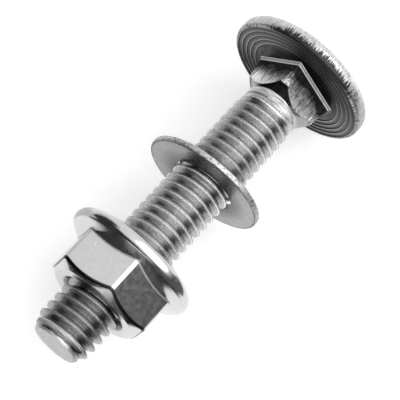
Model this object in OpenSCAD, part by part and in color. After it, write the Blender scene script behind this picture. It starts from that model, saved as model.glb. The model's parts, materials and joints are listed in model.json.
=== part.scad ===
// Stainless carriage bolt with a loose flat washer and a hexagon flange nut.
// The bolt lies along X. The origin is the centre of the flat underside of its head, X points to the
// free end, and Z is up. All lengths are in millimetres and all angles in degrees.

/* [Thread] */
// Diameter over the thread's crests
thread_d = 7.76; // [6:0.01:10]
// Advance of the thread in one turn
pitch = 1.25; // [0.8:0.05:1.75]
// Diameter of the rolled blank, seen as a plain band below the neck
blank_d = 7.2; // [5.4:0.05:9]
// Where the thread begins, from the head's underside
thread_start = 5.4; // [4.8:0.1:12]
// Turns over which the thread grows to its full depth
run_in_turns = 1.5; // [0.5:0.25:4]
// Turning of the crest line about the axis
thread_phase = 158; // [0:1:359]
// Flat pieces in one turn of the thread
thread_sides = 24; // [16:2:32]

/* [Bolt] */
// Length from the head's underside to the free end
bolt_len = 44.5; // [36:0.1:60]
// Diameter of the flat face of the free end
end_face_d = 5.9; // [4:0.1:6.2]
// Diameter of the mushroom head
head_d = 19.2; // [18.8:0.1:26]
// Height of the head over its underside
head_h = 4.35; // [3.4:0.05:7]
// Height of the head's upright rim
rim_h = 1.15; // [0.8:0.05:1.8]
// Rounding between the rim and the dome
rim_round = 1.0; // [0.3:0.05:1.2]
// Rounding of the rim's corner beside the underside
corner_round = 0.28; // [0.1:0.02:0.5]

/* [Underside rings] */
// Number of turned grooves in the underside
ring_count = 5; // [0:1:5]
// Radius of the first groove's floor
ring_first_r = 6.25; // [6:0.01:6.3]
// Distance from one groove to the next
ring_pitch = 0.68; // [0.4:0.01:0.7]
// Depth of each groove
ring_depth = 0.12; // [0.05:0.01:0.3]
// Width of each groove's steep outer side
ring_rise = 0.12; // [0.05:0.01:0.3]

/* [Square neck] */
// Width of the neck across its flats
neck_af = 7.5; // [7.3:0.05:8.5]
// Diameter over the neck's corners at its foot
neck_foot_d = 10.9; // [10:0.1:11.5]
// Diameter over the neck's blunt corners where they start to taper
neck_corner_d = 9.5; // [8.8:0.1:10]
// Distance from the underside to where the corners start to taper
neck_len = 3.15; // [2.5:0.05:5]
// Slope of the taper at the neck's end, from the axis
neck_taper = 45; // [30:1:60]
// Width across the flats of the low ledge at the neck's foot
ledge_af = 7.85; // [7.3:0.05:8.2]
// Height of the ledge
ledge_h = 0.3; // [0.2:0.05:1]
// Turning of the neck's flats about the axis
neck_turn = 40; // [0:1:89]

/* [Washer] */
// Outer diameter of the washer
washer_od = 15.75; // [13:0.05:22]
// Radial clearance between the washer's bore and the thread's crests
washer_clearance = 0.26; // [0.2:0.01:0.6]
// Thickness of the washer
washer_t = 0.8; // [0.6:0.05:2]
// Rounding of the washer's outer edges
washer_round = 0.25; // [0.05:0.01:0.3]
// Distance from the head's underside to the washer
washer_at = 17.2; // [14:0.1:22]
// Drop of the washer's centre below the axis, where it hangs on the thread
washer_drop = 0.13; // [0:0.01:0.16]
// Lean of the washer's top towards the nut
washer_lean = 1.2; // [0:0.1:2]

/* [Flange nut] */
// Width of the hexagon across its flats
nut_af = 12.55; // [11.5:0.05:13.2]
// Diameter over the hexagon's blunt corners
nut_corner_d = 14.2; // [14:0.1:15]
// Height of the nut
nut_h = 7.7; // [6.4:0.1:12]
// Length of thread that stands out beyond the nut
stand_out = 6.6; // [4:0.05:10]
// Turning of the hexagon's corners about the axis
nut_turn = 9; // [0:1:59]
// Diameter of the flange
flange_d = 17.2; // [16:0.1:21]
// Radius of the flange's rounded edge
flange_round = 0.9; // [0.4:0.05:1]
// Slope of the flange's upper side, from the bearing face
flange_slope = 30; // [15:1:40]
// Height of the low round collar at the hexagon's foot
collar_h = 0.35; // [0.1:0.05:0.8]
// Slope of the chamfer on the hexagon's top, from the top face
top_slope = 33; // [15:1:40]
// Diameter of the nut's flat top face
top_face_d = 11.6; // [10:0.1:12.5]
// Radial clearance between the nut's plain bore and the thread's crests
nut_clearance = 0.1; // [0.08:0.01:0.3]
// Depth of the countersink at each end of the nut's bore
countersink = 0.55; // [0.2:0.05:1]

/* [Hidden] */
$fn = 96;
// How far one solid of a piece reaches into the next, and a cut past the face it opens
overlap = 0.25;

// Thread form: sixty degree flanks, a crest one eighth of the pitch wide, and a rolled root
crest_r = thread_d / 2;
thread_depth = 0.6134 * pitch;
root_r = crest_r - thread_depth;
blank_r = blank_d / 2;
end_r = end_face_d / 2;
crest_half = 1 / 16;
flank_run = thread_depth * tan(30) / pitch;
// Along one pitch: crest starts, crest ends, root starts, root ends
form_at = [-crest_half, crest_half, crest_half + flank_run, 1 - crest_half - flank_run];
form_r = [crest_r, crest_r, root_r, root_r];

// The shank's faceted solid starts half way up the neck and ends at the free end
shank_from = neck_len / 2;
phase_shift = -pitch * thread_phase / 360;
// Spare turns that are drawn past each end, to be pressed flat against its face
start_spare = 2;
end_spare = 1;
first_turn = floor((shank_from - phase_shift) / pitch) - start_spare;
last_turn = ceil((bolt_len - phase_shift) / pitch) + end_spare;
steps = (last_turn - first_turn) * thread_sides;
// The fans of the two end faces meet a little off the axis, so that no triangle of theirs is flat
hub_off = root_r / 8;

// Head: the rim's rounding sits on its bead circle. The dome's arc runs into that circle and ends a
// hair inside it, so that the two cross and don't only touch.
dome_sink = 0.01;
head_r = head_d / 2;
bead_r = head_r - rim_round;
crown_h = head_h - rim_h;
sunk_r = rim_round - dome_sink;
dome_r = (bead_r * bead_r + crown_h * crown_h - sunk_r * sunk_r) / (2 * (crown_h - sunk_r));
dome_at = dome_r - head_h;
meet_r = bead_r * dome_r / (dome_r - sunk_r);
meet_at = dome_at - (dome_at + rim_h) * dome_r / (dome_r - sunk_r);
ring_fall = ring_pitch - ring_rise;

// Neck: it is rooted in the head as deep as the rim, and its taper ends just inside the blank
neck_root = rim_h;
neck_foot_r = neck_foot_d / 2;
neck_corner_r = neck_corner_d / 2;
taper_end_r = blank_r - overlap;
neck_end = neck_len + (neck_corner_r - taper_end_r) / tan(neck_taper);

// Washer: it lies in line with the thread that it hangs on, so it is turned by the thread's lead
washer_r = washer_od / 2;
washer_bore_r = crest_r + washer_clearance;
thread_lead = atan(pitch / (2 * PI * crest_r));

// Nut: heights over its bearing face
nut_at = bolt_len - stand_out - nut_h;
bore_r = crest_r + nut_clearance;
mouth_r = bore_r + countersink;
nut_corner_r = nut_corner_d / 2;
top_face_r = top_face_d / 2;
chamfer_at = nut_h - (nut_corner_r - top_face_r) * tan(top_slope);
flange_bead_r = flange_d / 2 - flange_round;
slope_r = flange_bead_r + flange_round * sin(flange_slope);
slope_at = flange_round * (1 + cos(flange_slope));
collar_at = slope_at + (slope_r - nut_corner_r) * tan(flange_slope);
collar_top = collar_at + collar_h;

// Share of the thread's depth that is formed at a distance along the bolt, from none to all
function formed(x) =
    let (u = (x - thread_start) / (run_in_turns * pitch), v = max(0, min(1, u)))
    v * v * (3 - 2 * v);

// Radius of one line of the thread form, held under the end's forty-five degree chamfer
function line_r(k, x) = min(blank_r + (form_r[k] - blank_r) * formed(x), end_r + bolt_len - x);

// A point of the thread's surface. Past either end it runs inwards over the flat end face.
function thread_point(step, k) =
    let (
        turn = first_turn + step / thread_sides,
        x = phase_shift + pitch * (turn + form_at[k]),
        flat_x = max(shank_from, min(bolt_len, x)),
        r = line_r(k, flat_x) - abs(x - flat_x),
        angle = 360 * step / thread_sides
    )
    [flat_x, r * cos(angle), r * sin(angle)];

function corner(step, k) = 4 * step + k;

// One solid: the ribbons between the four lines of the form, joined turn to turn, and a fan on each end
module threaded_shank() {
    points = [for (step = [0 : steps], k = [0 : 3]) thread_point(step, k)];
    start_hub = len(points);
    end_hub = start_hub + 1;
    ribbons = [
        for (step = [0 : steps - 1], k = [0 : 3])
            let (
                next_step = k == 3 ? step + thread_sides : step,
                next_k = (k + 1) % 4
            )
            if (next_step < steps)
                each [
                    [corner(step, k), corner(next_step + 1, next_k), corner(step + 1, k)],
                    [corner(step, k), corner(next_step, next_k), corner(next_step + 1, next_k)]
                ]
    ];
    start_loop = concat(
        [for (step = [0 : thread_sides]) corner(step, 0)],
        [for (k = [3 : -1 : 1]) corner(0, k)]
    );
    end_loop = concat(
        [for (step = [steps : -1 : steps - thread_sides]) corner(step, 3)],
        [for (k = [0 : 2]) corner(steps, k)]
    );
    fans = concat(
        [for (i = [0 : len(start_loop) - 1])
            [start_hub, start_loop[i], start_loop[(i + 1) % len(start_loop)]]],
        [for (i = [0 : len(end_loop) - 1])
            [end_hub, end_loop[i], end_loop[(i + 1) % len(end_loop)]]]
    );
    hubs = [[shank_from, 0, -hub_off], [bolt_len, 0, hub_off]];
    polyhedron(points = concat(points, hubs), faces = concat(ribbons, fans));
}

// Turns a shape drawn up Z to lie along X
module along_bolt() {
    rotate([0, 90, 0]) children();
}

// One turned groove of the underside: a long fall to its floor and a steep rise to the next crest
module ring_groove(floor_r) {
    polygon([
        [floor_r - ring_fall, 0],
        [floor_r, -ring_depth],
        [floor_r + ring_rise, 0],
        [floor_r + ring_rise, overlap],
        [floor_r - ring_fall, overlap]
    ]);
}

// Half section of the head: dome, rounded rim, upright side, soft lower corner and the rings
module head_section() {
    difference() {
        union() {
            intersection() {
                translate([0, dome_at]) circle(r = dome_r);
                polygon([[0, 0], [bead_r, 0], [bead_r, -rim_h], [meet_r, meet_at], [meet_r, -head_h], [0, -head_h]]);
            }
            translate([bead_r, -rim_h]) circle(r = rim_round);
            translate([head_r - corner_round, -corner_round]) circle(r = corner_round);
            translate([0, -rim_h]) square([head_r, rim_h - corner_round]);
            translate([0, -rim_h]) square([head_r - corner_round, rim_h]);
        }
        for (i = [0 : 1 : ring_count - 1]) ring_groove(ring_first_r + i * ring_pitch);
    }
}

// The half section is kept on its own side of the axis and below the underside before it is turned
module head() {
    along_bolt() rotate_extrude() intersection() {
        head_section();
        translate([0, -head_h]) square([head_r, head_h]);
    }
}

// A square bar centred on the axis, turned as the neck is
module neck_bar(width, from, to) {
    rotate([neck_turn, 0, 0])
        translate([from, -width / 2, -width / 2]) cube([to - from, width, width]);
}

// Square neck on its low ledge: corners that grow blunter, and a taper that leaves each flat a curved end
module square_neck() {
    intersection() {
        neck_bar(neck_af, -neck_root, neck_end);
        along_bolt() rotate_extrude() polygon([
            [0, -neck_root],
            [neck_foot_r, -neck_root],
            [neck_foot_r, 0],
            [neck_corner_r, neck_len],
            [taper_end_r, neck_end],
            [0, neck_end]
        ]);
    }
    neck_bar(ledge_af, -neck_root, ledge_h);
}

module bolt() {
    color("silver") union() {
        head();
        square_neck();
        threaded_shank();
    }
}

// Half section of the washer: a flat ring with soft outer edges
module washer_section() {
    width = washer_r - washer_bore_r;
    translate([washer_bore_r, 0]) {
        square([width - washer_round, washer_t]);
        translate([0, washer_round]) square([width, washer_t - 2 * washer_round]);
        for (h = [washer_round, washer_t - washer_round])
            translate([width - washer_round, h]) circle(r = washer_round);
    }
}

module washer() {
    color("lightgray")
        translate([washer_at, 0, -washer_drop]) rotate([0, washer_lean, thread_lead])
            along_bolt() rotate_extrude() washer_section();
}

// Flange with a rounded edge and a sloping upper side, and the low collar at the hexagon's foot
module flange() {
    rotate_extrude() {
        translate([flange_bead_r, flange_round]) circle(r = flange_round);
        polygon([
            [0, 0],
            [flange_bead_r, 0],
            [flange_bead_r, flange_round],
            [slope_r, slope_at],
            [nut_corner_r, collar_at],
            [nut_af / 2, collar_top],
            [0, collar_top]
        ]);
    }
}

// Hexagon with blunt corners, and a chamfer that leaves each flat a curved top
module hexagon() {
    intersection() {
        rotate([0, 0, nut_turn + 90]) cylinder(r = nut_af / 2 / cos(30), h = nut_h, $fn = 6);
        rotate_extrude() polygon([
            [0, 0],
            [nut_corner_r, 0],
            [nut_corner_r, chamfer_at],
            [top_face_r, nut_h],
            [0, nut_h]
        ]);
    }
}

// The nut's bore with a countersink at each end
module nut_bore() {
    rotate_extrude() polygon([
        [0, -overlap],
        [mouth_r + overlap, -overlap],
        [bore_r, countersink],
        [bore_r, nut_h - countersink],
        [mouth_r + overlap, nut_h + overlap],
        [0, nut_h + overlap]
    ]);
}

module flange_nut() {
    color("gainsboro") translate([nut_at, 0, 0]) along_bolt()
        difference() {
            union() {
                flange();
                hexagon();
            }
            nut_bore();
        }
}

bolt();
washer();
flange_nut();
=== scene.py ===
# %% [markdown]
# # A stainless carriage bolt with its washer and its flange nut
#
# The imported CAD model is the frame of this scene. It gives the place, the size and the motion of
# every piece, in metres, with the bolt along X, its head's underside at x = 0 and Z up. This file
# builds a finer skin for each piece, gives it a finish, and lights it on a plain pale floor.
#
# The pieces are turned, rolled and forged, so nearly all of them are surfaces that go round the
# bolt's axis. That is why the shapes below are grids of rows, along the axis, and columns, round it.

# %% Load the frame
import json
import math

import bpy
import numpy as np
from mathutils import Matrix

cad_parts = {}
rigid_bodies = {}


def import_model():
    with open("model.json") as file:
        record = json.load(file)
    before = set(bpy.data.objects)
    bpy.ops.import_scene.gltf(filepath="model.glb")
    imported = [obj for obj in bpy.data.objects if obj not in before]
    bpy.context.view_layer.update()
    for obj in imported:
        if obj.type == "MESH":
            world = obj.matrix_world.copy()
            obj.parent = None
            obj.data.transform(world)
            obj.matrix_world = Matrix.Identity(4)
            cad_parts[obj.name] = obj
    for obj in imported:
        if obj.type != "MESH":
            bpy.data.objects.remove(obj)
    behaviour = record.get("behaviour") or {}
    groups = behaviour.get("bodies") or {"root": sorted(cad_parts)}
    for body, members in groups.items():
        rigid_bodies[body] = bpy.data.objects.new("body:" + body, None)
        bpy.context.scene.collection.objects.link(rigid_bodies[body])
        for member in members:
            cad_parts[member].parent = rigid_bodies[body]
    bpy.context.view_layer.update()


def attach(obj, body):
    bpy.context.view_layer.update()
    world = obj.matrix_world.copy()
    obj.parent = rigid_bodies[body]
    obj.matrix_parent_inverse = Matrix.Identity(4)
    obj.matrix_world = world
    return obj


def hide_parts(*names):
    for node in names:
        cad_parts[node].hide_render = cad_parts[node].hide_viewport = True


for leftover in list(bpy.data.objects):
    bpy.data.objects.remove(leftover)
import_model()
MM = 0.001

# %% [markdown]
# ## Sizes
#
# The source of the CAD model names its sizes in millimetres, and this file can't read it, so the ones
# that the skins need are repeated here. A skin that keeps to them stays inside its CAD solid's box.
# The skins are finer than the solids in four places: the rim's lower corner is a little rounder, the
# ledge at the neck's foot is a little wider and higher, the chamfer at the free end is less steep, and
# the nut's edges are eased.

# %% Sizes of the bolt
CREST_R, BLANK_R, PITCH = 3.88, 3.6, 1.25
CREST_AT = 0.70
THREAD_START, RUN_IN, BAND_AT = 5.4, 1.5 * PITCH, 4.7
BOLT_LEN, END_R, END_SLOPE = 44.5, 2.95, 0.6
HEAD_R, HEAD_H, RIM_H = 9.594, 4.35, 1.15
RIM_ROUND, CORNER_ROUND = 1.0, 0.44
RING_COUNT, RING_FIRST_R, RING_PITCH, RING_DEPTH = 5, 6.25, 0.68, 0.12
NECK_HALF, NECK_FOOT_R, NECK_CORNER_R, NECK_LEN = 3.75, 5.29, 4.75, 3.15
LEDGE_HALF, LEDGE_CORNER_R, LEDGE_H = 3.95, 5.52, 0.36
NECK_CORNER_AT, NECK_FLAT_SHARE = 265.0, 2 / 3

# %% Sizes of the washer and the nut
WASHER_R, WASHER_BORE_R, WASHER_T, WASHER_ROUND = 7.875, 4.14, 0.8, 0.25
WASHER_AT, WASHER_DROP, WASHER_LEAN = 17.2, 0.13, 1.2
NUT_AT, NUT_H, NUT_HALF, NUT_CORNER_R, TOP_FACE_R = 30.2, 7.7, 6.275, 7.1, 5.8
FLANGE_R, FLANGE_ROUND, FLANGE_SLOPE, COLLAR_H = 8.6, 0.9, 30.0, 0.35
TOP_SLOPE, BORE_R, COUNTERSINK = 33.0, 3.98, 0.55
NUT_CORNER_AT, HEX_FLAT_SHARE = 249.0, 10 / 12
print("bolt ends at", BOLT_LEN, "mm, nut spans", NUT_AT, "to", NUT_AT + NUT_H, "mm")

# %% [markdown]
# ## Camera
#
# The photograph looks down on the bolt, over its free end. The camera's place, direction and lens
# were fitted to it: the thread's crests, the rings under the head, the nut's corners and the outlines
# of washer and flange all had to fall where the photograph shows them. The three directions below
# are the picture's right, the picture's up and the way back to the camera.

# %% Camera
CAMERA_AT = np.array([87.675, 57.330, 183.972]) * MM
PICTURE_RIGHT = (-0.63764, 0.77033, 0.0)
PICTURE_UP = (-0.69466, -0.57500, 0.43222)
TO_CAMERA = (0.33295, 0.27560, 0.90177)
CAMERA_LENS, SENSOR_WIDTH = 154.56, 36.0


def turned_to(right, up, back, at):
    """A world matrix from three directions at right angles, as its columns, and a place."""
    rows = [[right[k], up[k], back[k], at[k]] for k in range(3)]
    return Matrix(rows + [[0, 0, 0, 1]])


camera = bpy.data.objects.new("camera", bpy.data.cameras.new("camera"))
camera.data.lens = CAMERA_LENS
camera.data.sensor_width = SENSOR_WIDTH
camera.data.clip_start = 0.01
camera.data.clip_end = 20.0
camera.matrix_world = turned_to(PICTURE_RIGHT, PICTURE_UP, TO_CAMERA, CAMERA_AT)
bpy.context.scene.collection.objects.link(camera)
bpy.context.scene.camera = camera
print("camera at", np.round(CAMERA_AT, 4), "lens", camera.data.lens)

# %% [markdown]
# ## From arrays to a mesh
#
# A piece is first two arrays: its points, and its faces as rows of point numbers. Filling the mesh
# with foreach_set is quick even for a hundred thousand points, because no Python loop visits them.

# %% Mesh helpers
def add_piece(name, points, groups, materials, sharp_over=50.0, marks=None):
    """Makes an object from points in millimetres and groups of faces; group k gets material k.

    Marks are named numbers, one for each point, that a material can read as an attribute.
    """
    mesh = bpy.data.meshes.new(name)
    loops = np.concatenate([faces.ravel() for faces in groups])
    sizes = np.concatenate([np.full(len(faces), faces.shape[1]) for faces in groups])
    kinds = np.concatenate([np.full(len(faces), k) for k, faces in enumerate(groups)])
    mesh.vertices.add(len(points))
    mesh.vertices.foreach_set("co", (np.asarray(points) * MM).astype(np.float32).ravel())
    mesh.loops.add(len(loops))
    mesh.loops.foreach_set("vertex_index", loops.astype(np.int32))
    mesh.polygons.add(len(sizes))
    mesh.polygons.foreach_set("loop_start", (np.cumsum(sizes) - sizes).astype(np.int32))
    for material in materials:
        mesh.materials.append(material)
    mesh.polygons.foreach_set("material_index", kinds.astype(np.int32))
    mesh.update(calc_edges=True)
    for mark, values in (marks or {}).items():
        layer = mesh.attributes.new(mark, "FLOAT", "POINT")
        layer.data.foreach_set("value", np.asarray(values, np.float32).ravel())
    mesh.validate()
    mesh.shade_smooth()
    mesh.set_sharp_from_angle(angle=math.radians(sharp_over))
    piece = bpy.data.objects.new(name, mesh)
    bpy.context.scene.collection.objects.link(piece)
    print(name, "has", len(points), "points and", len(sizes), "faces")
    return piece


def round_axis(x, r, angle):
    """Points at x along the bolt's axis and r out from it, at an angle from +Y towards +Z, in degrees."""
    x, r, angle = np.broadcast_arrays(x, r, np.radians(angle))
    return np.stack([x, r * np.cos(angle), r * np.sin(angle)], axis=-1)


def arc(x, r, radius, start, end, count):
    """Profile points (x, r) of an arc. Its angle is 0 straight out from the axis and 90 towards +X."""
    turn = np.radians(np.linspace(start, end, count))
    return np.stack([x + radius * np.sin(turn), r + radius * np.cos(turn)], axis=-1)


def quads(near, far):
    """Faces between two rows of point numbers that close on themselves, or two stacks of such rows."""
    return np.stack([near, np.roll(near, -1, -1), np.roll(far, -1, -1), far], -1).reshape(-1, 4)


print("a quarter arc of radius 1, as (x, r):", np.round(arc(0, 0, 1, 0, 90, 3), 2).tolist())

# %% [markdown]
# ## Squares and hexagons in a round grid
#
# The neck's square and the nut's hexagon both have blunt corners: each side is a straight line that
# ends on a circle. A round grid can follow that outline if its columns slide along it, so that one
# column always runs down the edge where the flat meets the blunt corner. Columns crowd towards
# that edge, which keeps it crisp when the surface is shaded smooth.

# %% Outline helper
COLUMNS, SIDE_LIMIT = 144, 0.985
EVEN = 360.0 / COLUMNS * np.arange(COLUMNS)


def blunt_outline(sides, flat_share, half_width, corner_r, first_corner):
    """Angle and radius of each column on an outline of straight sides that end on a circle.

    Within the flat share of a side the point slides along the side as the sine of its place, so that
    columns crowd at both ends. The rest of the side runs on the circle, at even steps.
    """
    per_side = COLUMNS // sides
    half_width, corner_r = np.asarray(half_width, float), np.asarray(corner_r, float)
    place = (np.arange(COLUMNS) % per_side - per_side / 2) / (flat_share * per_side / 2)
    widest = np.radians(180.0 / sides) * SIDE_LIMIT
    reach = np.minimum(np.arccos(np.clip(half_width / corner_r, -1, 1)), widest)[..., None]
    along = np.sin(np.clip(place, -1, 1) * np.pi / 2) * np.tan(reach)
    on_flat = np.abs(place) <= 1
    past = (np.abs(place) - 1) / (1 / flat_share - 1)
    on_circle = np.sign(place) * (reach + (np.radians(180.0 / sides) - reach) * past)
    offset = np.where(on_flat, np.arctan(along), on_circle)
    flat_r = half_width[..., None] * np.sqrt(1 + along ** 2)
    round_r = np.minimum(corner_r, half_width / np.cos(widest))[..., None] + 0 * place
    middle = first_corner + (np.arange(COLUMNS) // per_side + 0.5) * 360.0 / sides
    return middle + np.degrees(offset), np.where(on_flat, flat_r, round_r)


def neck_outline(half_width, corner_r):
    """The neck's square, or a stack of squares when the sizes are arrays."""
    return blunt_outline(4, NECK_FLAT_SHARE, half_width, corner_r, NECK_CORNER_AT)


neck_angle, neck_r = neck_outline(NECK_HALF, NECK_CORNER_R)
print("neck outline runs from", round(float(neck_r.min()), 2), "to", round(float(neck_r.max()), 2), "mm")

# %% [markdown]
# ## The bolt's head
#
# A carriage bolt's head is pressed into a shallow dome, and its underside is turned in a lathe, which
# leaves fine rings. The profile goes from the dome's crown over the rounded rim to the underside and
# inwards over the rings. Each ring is a steep step and a long fall, like a worn saw tooth.

# %% Profile of the head
bead_r, crown_h = HEAD_R - RIM_ROUND, HEAD_H - RIM_H
dome_r = (bead_r ** 2 + crown_h ** 2 - RIM_ROUND ** 2) / (2 * (crown_h - RIM_ROUND))
dome_end = math.degrees(math.asin(bead_r / (dome_r - RIM_ROUND)))
dome = arc(dome_r - HEAD_H, 0, dome_r, -90, -90 + dome_end, 22)
bead = arc(-RIM_H, bead_r, RIM_ROUND, -90 + dome_end, 0, 9)
corner = arc(-CORNER_ROUND, HEAD_R - CORNER_ROUND, CORNER_ROUND, 0, 90, 7)
RING_SHAPE = np.array([
    [0.0, 0.17], [-0.1, 0.12], [-0.85, 0.03], [-1.0, -0.01],
    [-0.93, -0.06], [-0.6, -0.22], [-0.25, -0.38], [-0.06, -0.47],
])
ring_r = RING_FIRST_R + RING_PITCH * np.arange(RING_COUNT)[::-1]
rings = np.stack([
    np.broadcast_to(RING_SHAPE[:, 0] * RING_DEPTH, (RING_COUNT, len(RING_SHAPE))),
    ring_r[:, None] + RING_SHAPE[:, 1],
], axis=-1).reshape(-1, 2)
head_profile = np.concatenate([dome[1:], bead[1:], corner[1:], rings, [[0.0, 5.72]]])
even_angle = NECK_CORNER_AT + EVEN
head_rows = round_axis(head_profile[:, :1], head_profile[:, 1:], even_angle)
print("head profile of", len(head_profile), "points, dome radius", round(dome_r, 2), "mm")

# %% [markdown]
# ## The square neck
#
# The neck is forged with the head. A low sloping ledge runs round its foot. Its corners are sharp
# there and grow blunter towards the thread, and then a cone cuts all four of them, so that each flat
# ends in a curve. The grid has one row on that curve: its radius is the outline's, and its x is where
# the cone has that radius.

# %% Rows of the neck
side_start = LEDGE_H + 0.06
ledge_steps = np.array([
    [0.0, LEDGE_HALF + 0.04], [0.02, LEDGE_HALF], [0.06, LEDGE_HALF - 0.02],
    [LEDGE_H - 0.06, NECK_HALF + 0.05], [LEDGE_H, NECK_HALF + 0.012], [side_start, NECK_HALF],
])
ledge_share = (ledge_steps[:, 1] - NECK_HALF) / (LEDGE_HALF - NECK_HALF)
ledge_corner = NECK_FOOT_R + (LEDGE_CORNER_R - NECK_FOOT_R) * ledge_share
ledge_angle, ledge_r = neck_outline(ledge_steps[:, 1], ledge_corner)
ledge_rows = round_axis(ledge_steps[:, :1], ledge_r, ledge_angle)

curve_x = NECK_LEN + NECK_CORNER_R - neck_r
share = np.array([0.12, 0.27, 0.43, 0.6, 0.76, 0.89, 0.975, 1.0])[:, None]
side_x = side_start + (curve_x - side_start) * share
side_corner = NECK_FOOT_R + (NECK_CORNER_R - NECK_FOOT_R) * share[:, 0]
side_angle, side_r = neck_outline(np.full(len(share), NECK_HALF), side_corner)
side_rows = round_axis(side_x, side_r, side_angle)

flatness = (NECK_CORNER_R - neck_r) / (NECK_CORNER_R - NECK_HALF)
cone_end_x = NECK_LEN + NECK_CORNER_R - BLANK_R + 0.2 * flatness
share = np.array([0.03, 0.3, 0.6, 0.85, 0.96, 1.0])[:, None]
cone_x = curve_x + (cone_end_x - curve_x) * share
cone_r = neck_r + (BLANK_R - neck_r) * share
cone_rows = round_axis(cone_x, cone_r, neck_angle + (even_angle - neck_angle) * share)
band_row = round_axis(BAND_AT, BLANK_R, even_angle)[None]
print("neck has", len(ledge_rows) + len(side_rows) + len(cone_rows), "rows")

# %% [markdown]
# ## The rolled thread
#
# A rolled thread is a ridge that winds round the shank, so its crest moves along the axis as the angle
# grows. If the grid's rows were flat rings, they would cross that crest and leave it jagged. Here the
# rows wind with the thread: row i of one turn joins row i + 12 of the next. Every point's radius comes
# from one formula in x and angle, which also fades the thread in near the neck and holds it under the
# chamfer at the free end. Rows past the end lie on the flat end face and wind in to its middle. Two
# marks go with every point, for the finish: its distance from a crest, and whether a roller touched it.

# %% Thread form
FORM_AT = np.array([0.0, 0.045, 0.075, 0.24, 0.40, 0.45, 0.5])
FORM_R = np.array([3.88, 3.877, 3.85, 3.487, 3.135, 3.117, 3.113])
LINE_AT = np.array([0.5, 0.55, 0.6, 0.76, 0.925, 0.955, 1.0, 1.045, 1.075, 1.24, 1.4, 1.45])
LINES = len(LINE_AT)


def smooth_step(value):
    """Rises from 0 to 1 with level ends: three times the square less twice the cube."""
    value = np.clip(value, 0, 1)
    return value * value * (3 - 2 * value)


def from_crest(x, angle):
    """Distance from the nearest crest in pitches: 0 on a crest, 0.5 at a root."""
    turns = (x - CREST_AT) / PITCH - angle / 360.0
    return np.abs(turns - np.round(turns))


def shank_radius(x, angle):
    """Radius of the shank: the thread's form by the distance from its crest, faded in, under the chamfer."""
    form = np.interp(from_crest(x, angle), FORM_AT, FORM_R)
    faded = BLANK_R + (form - BLANK_R) * smooth_step((x - THREAD_START) / RUN_IN)
    return np.minimum(faded, END_R + END_SLOPE * (BOLT_LEN - x))


print("radius on a crest and at a root:", shank_radius(np.array([20.7, 21.325]), 0.0))

# %% Rows of the thread
PLAIN_MARK, BAND_GAP, HUB_R, NEAR_END = 0.125, 0.03, 0.4, 0.01
root_at = CREST_AT + PITCH * (NECK_CORNER_AT / 360.0 + 0.5)
first_turn = math.ceil((BAND_AT + BAND_GAP - root_at) / PITCH)
first_x = root_at + PITCH * (first_turn - 0.5)
turns = math.floor((BOLT_LEN + END_R - HUB_R - PITCH - first_x) / PITCH)
line_x = first_x + PITCH * (np.arange(turns)[:, None] + LINE_AT).ravel()
wound_x = line_x[:, None] + PITCH * EVEN / 360.0
nearest = np.abs(wound_x - BOLT_LEN).argmin(axis=0)
past_end = np.maximum(wound_x - BOLT_LEN, 0)
shank_x = np.minimum(wound_x, BOLT_LEN)
shank_x[nearest, np.arange(COLUMNS)] = BOLT_LEN
past_end[nearest, np.arange(COLUMNS)] = 0
shank_r = shank_radius(shank_x, even_angle) - past_end
shank_rows = round_axis(shank_x, shank_r, even_angle)
print("thread of", turns, "turns, end face closes to", round(float(shank_r.min()), 2), "mm")

# %% Marks of the thread
SLACK = 0.02
on_band, on_end = shank_x < THREAD_START, shank_x > BOLT_LEN - NEAR_END
shank_mark = np.where(on_end | on_band, PLAIN_MARK, from_crest(shank_x, even_angle))
unrolled_mark = smooth_step((END_R + END_SLOPE * (BOLT_LEN - shank_x) - shank_r - SLACK) / -SLACK)
unrolled_mark[on_end & (past_end > 0)] = 0.0
unrolled_mark[on_band] = 1.0
print("share of points that no roller touched:", round(float((unrolled_mark > 0.5).mean()), 3))

# %% [markdown]
# ## One closed skin for the bolt
#
# Head, neck and thread are one forging, so their rows become one mesh. A level row is joined to the
# next level row, and a winding row to the row one turn further on. Where the two kinds meet, a strip
# of quads and one fan of triangles close the step. The dome's crown and the middle of the end face
# are fans round a single point.

# %% Faces of the bolt
def cells(rows):
    """The four corners of each cell in a grid of point numbers whose rows don't close."""
    return np.stack([rows[:-1, :-1], rows[:-1, 1:], rows[1:, 1:], rows[1:, :-1]], axis=-1).reshape(-1, 4)


ring_rows = np.concatenate([head_rows, ledge_rows, side_rows, cone_rows, band_row])
apex = np.array([[-HEAD_H, 0.0, 0.0]])
hub = np.array([[BOLT_LEN, 0.0, 0.0]])
bolt_points = np.concatenate([apex, ring_rows.reshape(-1, 3), shank_rows.reshape(-1, 3), hub])
ring_no = 1 + np.arange(len(ring_rows) * COLUMNS).reshape(-1, COLUMNS)
wind_no = 1 + ring_no.size + np.arange(len(line_x) * COLUMNS).reshape(-1, COLUMNS)
hub_no = len(bolt_points) - 1
ring_faces = quads(ring_no[:-1], ring_no[1:]).reshape(len(ring_rows) - 1, COLUMNS, 4)

wound = np.concatenate([wind_no[:-LINES], wind_no[LINES:, :1]], axis=1)
tail = wind_no[-LINES - 1:]
wound_quads = np.concatenate([cells(wound), cells(tail)])
wound_faces = np.concatenate([wound_quads[:, [0, 1, 3]], wound_quads[:, [1, 2, 3]]])

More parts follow.
